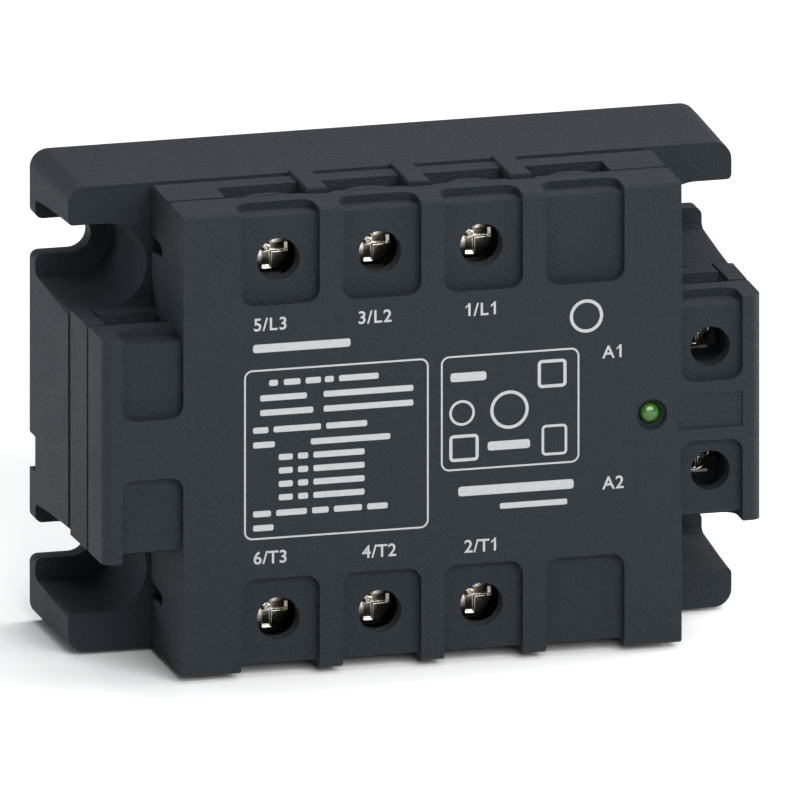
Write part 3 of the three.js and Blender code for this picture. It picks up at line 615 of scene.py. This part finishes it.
def makeCover():
    size = {
        "draft": 0.15, "wingBack": 51.46, "wingFront": 51.35, "round": 0.85, "wingRound": 1.6,
        "ceiling": 37.25, "wall": 34.15, "ribHalf": 1, "ribEnd": 34.4, "seam": 0.6,
        "skirtBack": 22, "corner": 0.7, "cornerHigh": 0.9, "front": 2, "shoulder": 19,
    }
    seat = {"half": 2.275, "front": 33.4, "chamfer": 0.55}
    hole = {"power": 3.3, "control": 3.05, "back": 2}
    step = {"x": (38.275, 48.375), "half": 2.7, "depth": 0.3}
    well = {"radius": 2.4, "flange": 2.7, "flangeFront": 33.55}
    low, high, ledge = levels["cover"], levels["front"], body["ledge"]
    ceiling, past = size["ceiling"], beyond["front"]
    cover = crossShape(
        "front_cover", (low, high), body["coverZ"], body["coverZ"] - size["draft"],
        size["wingBack"], size["wingFront"], size["round"], size["wingRound"],
    )
    for right, up in corners:
        side = mirrored(right, body["x"] - size["corner"], 41)
        foot = (low - spare, low + size["cornerHigh"])
        carve(cover, block(side, foot, mirrored(up, ledge, 40)))
        skirt = mirrored(right, body["skirt"], body["x"])
        reach = mirrored(up, body["wingZ"] - 0.5, ledge)
        fuse(cover, block(skirt, (size["skirtBack"], low + 0.5), reach))
    room = (low - spare, ceiling)
    for up in (1, -1):
        across = (-body["skirt"], body["skirt"])
        carve(cover, block(across, room, mirrored(up, chamber["near"], size["wall"])))
        for right in (1, -1):
            wing = mirrored(right, *chamber["wingX"])
            carve(cover, block(wing, room, mirrored(up, *chamber["wingZ"])))
    middle = (-hollow["x"], hollow["x"]), (low - spare, high - size["front"])
    carve(cover, block(*middle, (-hollow["z"], hollow["z"])))
    # a rebate along the seam, at the wings and then above and below
    seam = (low - spare, low + size["seam"])
    shoulder = (-size["shoulder"], size["shoulder"])
    for right in (1, -1):
        carve(cover, block(mirrored(right, body["x"], beyond["wing"]), seam, shoulder))
    for up in (1, -1):
        for x in ribs:
            across = (x - size["ribHalf"], x + size["ribHalf"])
            z = mirrored(up, chamber["near"], size["ribEnd"])
            fuse(cover, block(across, (low, ceiling + spare), z))
        carve(cover, block((-45, 45), seam, mirrored(up, body["coverZ"] - size["seam"], 40)))
        for x in columns:
            addTab(cover, x, up)
    for right, up in corners:
        carve(cover, latch(right, up, (36.25, 39.9), 0))

    def seatEdge(a, b):
        return abs(a[2] - b[2]) > 1 and min(a[1], b[1]) > 33

    for up in (1, -1):
        for x in ribs:
            across = (x - seat["half"], x + seat["half"])
            cutter = block(across, (low - spare, seat["front"]), mirrored(up, ledge, 40))
            roundEdges(cutter, seatEdge, seat["chamfer"], 1)
            carve(cover, cutter)
        for x in columns:
            across = (x - pocket["half"], x + pocket["half"])
            carve(cover, *pocketCutters(across, up, pocket["inner"], body["coverZ"]))
        for right in (1, -1):
            across = mirrored(right, body["x"], pocket["wingX"])
            carve(cover, *pocketCutters(across, up, pocket["wingInner"], body["wingZ"]))

    # the wing pockets' front edges are rounded as the wings' are
    floor, end = high - pocket["depth"], body["wingZ"] - pocket["endDepth"]

    def pocketEdge(a, b):
        level = max(abs(a[1] - floor), abs(b[1] - floor)) < 0.01
        outer = abs(abs(a[2]) - end) < 0.01 and abs(a[2] - b[2]) < 0.01
        return level and outer and abs(a[0] - b[0]) > 3

    roundEdges(cover, pocketEdge, pocket["round"], 4)
    holeDepth = (low - hole["back"], high + spare)
    for up in (1, -1):
        for x in powerColumns.values():
            carve(cover, rod(x, up * terminal["z"], hole["power"], holeDepth, sides=72))
        x, z = terminal["controlX"], up * terminal["controlZ"]
        carve(cover, rod(x, z, hole["control"], holeDepth, sides=72))
    flangeRoom = (low - spare, well["flangeFront"])
    carve(
        cover,
        block(step["x"], (high - step["depth"], past), (-step["half"], step["half"])),
        rod(pipe["x"], 0, well["radius"], (pipe["floor"], past), sides=64),
        rod(pipe["x"], 0, pipe["way"], (low - spare, high), sides=48),
        rod(pipe["x"], 0, well["flange"], flangeRoom, sides=48),
    )
    return wear(softenEdges(cover, 0.07), "housing", "relay", "top_cover")


makePlate()
print("plate made")
makeBase()
print("base made")
makeHousing()
print("housing made")
makeCover()
print("cover made")


def makeLens():
    size = {
        "back": 13.7, "radius": 1.5, "dome": 0.85, "flange": 2.5, "flangeDepth": (31.75, 33.25),
    }
    radius, floor = size["radius"], pipe["floor"]
    lens = rod(pipe["x"], 0, radius, (size["back"], floor), sides=48, name="indicator_lens")
    bpy.ops.mesh.primitive_uv_sphere_add(
        segments=48,
        ring_count=24,
        radius=1,
        location=place(pipe["x"], floor, 0),
        scale=(radius * mm, size["dome"] * mm, radius * mm),
    )
    dome = settle("dome")
    flange = rod(pipe["x"], 0, size["flange"], size["flangeDepth"], sides=48)
    fuse(lens, dome, flange)
    return wear(softenEdges(lens, 0.08, angle=50), "lens", "relay", "light_pipe")


def makeScrew(kind):
    sizes = {
        "power": {
            "front": 32.8, "head": 4.0, "height": 3.0, "shank": 2.0, "length": 9.25,
            "long": 3.2, "wide": 0.7, "deep": 0.9,
        },
        "control": {
            "front": 29.925, "head": 2.8, "height": 2.25, "shank": 1.5, "length": 8.0,
            "long": 2.45, "wide": 0.55, "deep": 0.7,
        },
    }
    size = sizes[kind]
    rounding = {"head": 0.6, "tip": 0.4}
    # the middle of the cross; its radii are shares of the arms' half width
    centre = {"deep": 0.9, "back": 0.5, "front": 1.25}
    front = size["front"]
    seat = front - size["height"]
    tip = seat - size["length"]
    head = rod(0, 0, size["head"], (seat, front), sides=72, name=kind)
    roundEdges(head, lambda a, b: frontOf(front)(a) and frontOf(front)(b), rounding["head"], 6)
    shank = rod(0, 0, size["shank"], (tip, seat + 0.5), sides=48)
    roundEdges(shank, lambda a, b: max(a[1], b[1]) < tip + 0.01, rounding["tip"], 2)
    fuse(head, shank)
    floor = front - size["deep"]
    long, wide = size["long"], size["wide"]
    depth = (floor, front + spare)
    carve(
        head,
        block((-long, long), depth, (-wide, wide)),
        block((-wide, wide), depth, (-long, long)),
        rod(
            0, 0, centre["back"] * wide, (floor - centre["deep"], floor + 0.1),
            front=centre["front"] * wide, sides=32,
        ),
    )
    return softenEdges(head, 0.08, angle=40)


# Each screw is a copy of its kind's first one, moved to its terminal.
def setScrews(kind, spots):
    first = makeScrew(kind)
    for name, (x, z) in spots.items():
        makeActive(first)
        bpy.ops.object.duplicate()
        bpy.context.object.location = place(x, 0, z)
        wear(settle(name), "nickel", name, name)
    bpy.data.objects.remove(first, do_unlink=True)


makeLens()
powerSpots = {}
for number, x in powerColumns.items():
    powerSpots["power_screw_L" + number] = (x, terminal["z"])
    powerSpots["power_screw_T" + number] = (x, -terminal["z"])
setScrews("power", powerSpots)
setScrews("control", {
    "control_screw_A1": (terminal["controlX"], terminal["controlZ"]),
    "control_screw_A2": (terminal["controlX"], -terminal["controlZ"]),
})
print("lens and screws made")


# Printing: a thin layer of ink on the front face
ink = {"low": 41.04, "high": 41.1, "capital": 0.72, "weight": 0.02}
layer = (ink["low"], ink["high"])
wholeLayer = (40, 42)


def acrossLayer(a, b):
    return abs(a[1] - b[1]) > 0.02


def inkText(text, x, z, height):
    middle = place(x, sum(layer) / 2, z)
    bpy.ops.object.text_add(location=middle, rotation=(math.pi / 2, 0, 0))
    label = bpy.context.object
    label.data.body = text
    label.data.align_x = "CENTER"
    label.data.align_y = "BOTTOM_BASELINE"
    label.data.size = height * mm / ink["capital"]
    label.data.offset = ink["weight"] * height * mm
    label.data.extrude = (layer[1] - layer[0]) / 2 * mm
    makeActive(label)
    bpy.ops.object.convert(target="MESH")
    return settle("print_letter")


# A plain numeral one: an upright with a short flag. Its sizes are shares of its height.
def inkOne(x, z, height):
    share = {"stem": (-0.02, 0.15), "flag": (-0.24, 0.1), "flagZ": (0.6, 0.75), "rise": 0.25}
    sides = {key: [x + part * height for part in share[key]] for key in ("stem", "flag")}
    stem = block(sides["stem"], layer, (z, z + height))
    flag = block(sides["flag"], layer, [z + part * height for part in share["flagZ"]])
    for v in flag.data.vertices:
        if v.co.x / mm > x:
            v.co.z += share["rise"] * height * mm
    return fuse(stem, flag)


# Each character stands in its own space, as wide as a printed sans serif's.
def inkLabel(text, x, z, height):
    wide = {"/": 0.42, "L": 0.80, "T": 0.82, "A": 0.98}
    widths = [wide.get(letter, 0.76) * height for letter in text]
    left = x - sum(widths) / 2
    pieces = []
    for letter, width in zip(text, widths):
        make = inkOne if letter == "1" else lambda *a: inkText(letter, *a)
        pieces.append(make(left + width / 2, z - height / 2, height))
        left += width
    return pieces


def inkBar(x, z, height):
    bar = block(x, layer, (z - height / 2, z + height / 2), "print_bar")
    roundEdges(bar, acrossLayer, min(height, x[1] - x[0]) * 0.3, 4)
    return bar


def inkFrame(x, z, line, radius, name):
    outer = block(x, layer, z, name)
    roundEdges(outer, acrossLayer, radius, 8)
    inner = block((x[0] + line, x[1] - line), wholeLayer, (z[0] + line, z[1] - line))
    roundEdges(inner, acrossLayer, radius - line, 8)
    return carve(outer, inner)


def inkRing(x, z, radius, line):
    outer = rod(x, z, radius, layer, sides=64, name="print_ring")
    return carve(outer, rod(x, z, radius - line, wholeLayer, sides=64))


def joinPrint(pieces, name):
    bpy.ops.object.select_all(action="DESELECT")
    for piece in pieces:
        piece.select_set(True)
    bpy.context.view_layer.objects.active = pieces[0]
    bpy.ops.object.join()
    pieces[0].name = name
    return wear(pieces[0], "ink")


def makePrinting():
    labels = {
        "5/L3": (-25.3, 18.5), "3/L2": (-9.0, 18.5), "1/L1": (7.6, 18.5),
        "6/T3": (-25.3, -18.0), "4/T2": (-8.3, -18.2), "2/T1": (7.6, -18.5),
        "A1": (28.2, 10.4), "A2": (28.2, -10.1),
    }
    letters = [glyph for text, (x, z) in labels.items() for glyph in inkLabel(text, x, z, 2.0)]
    joinPrint(letters, "print_terminal_marks")
    frames = [
        inkFrame((-29.4, -0.6), (-15.2, 11.4), 0.28, 1.3, "print_frames"),
        inkFrame((1.3, 22.9), (-6.6, 11.4), 0.28, 1.3, "print_frame_2"),
    ]
    joinPrint(frames, "print_frames")
    rows = {
        9.2: [(-25.5, -24.1), (-23.2, -20.6), (-19.8, -17.4), (-16.8, -15.4), (-14.6, -8.4)],
        6.9: [(-26.9, -19.6), (-17.0, -3.0)],
        4.6: [(-26.9, -18.6), (-17.0, -3.0)],
        1.9: [(-28.0, -25.6), (-24.8, -17.4), (-16.6, -10.2)],
        -0.4: [(-28.0, -24.6), (-19.0, -6.6)],
        -2.5: [(-24.0, -21.8), (-21.0, -19.4), (-18.6, -10.6)],
        -4.6: [(-24.0, -21.8), (-21.0, -19.4), (-18.6, -10.6)],
        -6.7: [(-24.0, -21.8), (-21.0, -19.4), (-18.6, -10.6)],
        -8.8: [(-24.0, -21.8), (-21.0, -19.4), (-18.6, -10.6)],
        -11.2: [(-28.0, -25.2), (-24.4, -19.6), (-18.8, -16.2), (-15.4, -11.0), (-10.2, -7.0)],
        -13.4: [(-28.0, -24.8)],
    }
    bars = [inkBar(x, z, 0.95) for z, xs in rows.items() for x in xs]
    bars.append(inkBar((-28, -12.8), 14.7, 1.3))
    bars.append(inkBar((4, 22), -9.9, 1.5))
    bars.append(inkBar((10.5, 21), -12.6, 0.9))
    joinPrint(bars, "print_rows")
    rings = [(12.0, 2.4, 3.0, 0.5), (4.6, 2.4, 2.0, 0.4), (24.0, 16.2, 2.6, 0.5)]
    marks = [inkRing(*ring) for ring in rings]
    marks.append(inkFrame((16.4, 20.9), (5.4, 9.8), 0.5, 0.7, "print_mark_1"))
    marks.append(inkFrame((17.0, 21.0), (-5.2, -0.4), 0.4, 0.7, "print_mark_2"))
    marks.append(inkFrame((2.6, 7.2), (-5.2, -1.0), 0.5, 0.7, "print_mark_3"))
    marks.append(inkBar((8.6, 15.2), -3.1, 1.4))
    marks.append(inkBar((2.8, 8.4), 8.0, 1.4))
    joinPrint(marks, "print_marks")


makePrinting()
print("printing made")


def makeStage():
    size = {"floor": 6, "gap": 0.0002, "low": -36.9}
    under = size["low"] * mm - size["gap"]
    bpy.ops.mesh.primitive_plane_add(size=size["floor"], location=(0, 0, under))
    floor = settle("floor")
    finish = Finish("pale floor")
    cloud = finish.noise(3, detail=2)
    floor.data.materials.append(
        finish.surface(
            Base_Color=finish.blend(cloud, rgb(0.86, 0.86, 0.86), rgb(0.9, 0.9, 0.9)),
            Roughness=finish.fade(cloud, 0.3, 0.7, 0.85, 0.95),
        )
    )
    world = bpy.context.scene.world or bpy.data.worlds.new("studio")
    bpy.context.scene.world = world
    world.use_nodes = True
    sky = world.node_tree.nodes["Background"]
    sky.inputs["Color"].default_value = (1, 1, 1, 1)
    sky.inputs["Strength"].default_value = 0.14


def makeLight(name, position, size, power, colour=(1, 1, 1)):
    bpy.ops.object.light_add(type="AREA", location=position)
    light = bpy.context.object
    light.name = name
    light.data.shape = "RECTANGLE"
    light.data.size, light.data.size_y = size
    light.data.energy = power
    light.data.color = colour
    aim = Vector((0, -0.02, 0)) - light.location
    light.rotation_euler = aim.to_track_quat("-Z", "Y").to_euler()
    return light


def makeCamera():
    view = {
        "azimuth": -14.8, "elevation": 15.6, "scale": 0.12064,
        "target": (0.36, 20.5, -0.83), "away": 0.6,
    }
    a, e = math.radians(view["azimuth"]), math.radians(view["elevation"])
    back = Vector((math.sin(a) * math.cos(e), -math.cos(a) * math.cos(e), math.sin(e)))
    camera = bpy.data.objects.new("camera", bpy.data.cameras.new("camera"))
    bpy.context.scene.collection.objects.link(camera)
    camera.data.type = "ORTHO"
    camera.data.ortho_scale = view["scale"]
    camera.data.clip_start = 0.01
    camera.location = place(*view["target"]) + back * view["away"]
    camera.rotation_euler = back.to_track_quat("Z", "Y").to_euler()
    bpy.context.scene.camera = camera


makeStage()
# Places and sizes of the lights are in metres, and their powers in watts.
makeLight("key", (0.12, -0.8, 0.42), (0.8, 0.5), 12.0)
makeLight("top", (0.2, 0.12, 0.8), (1.0, 0.9), 8.2)
makeLight("left", (-0.6, 0.6, 0.12), (0.3, 0.4), 1.6, (0.75, 0.87, 1.0))
makeLight("right", (0.75, 0.15, 0.15), (0.3, 0.5), 4)
makeCamera()
bpy.context.scene.view_settings.view_transform = "Standard"
print("stage, lights and camera made")
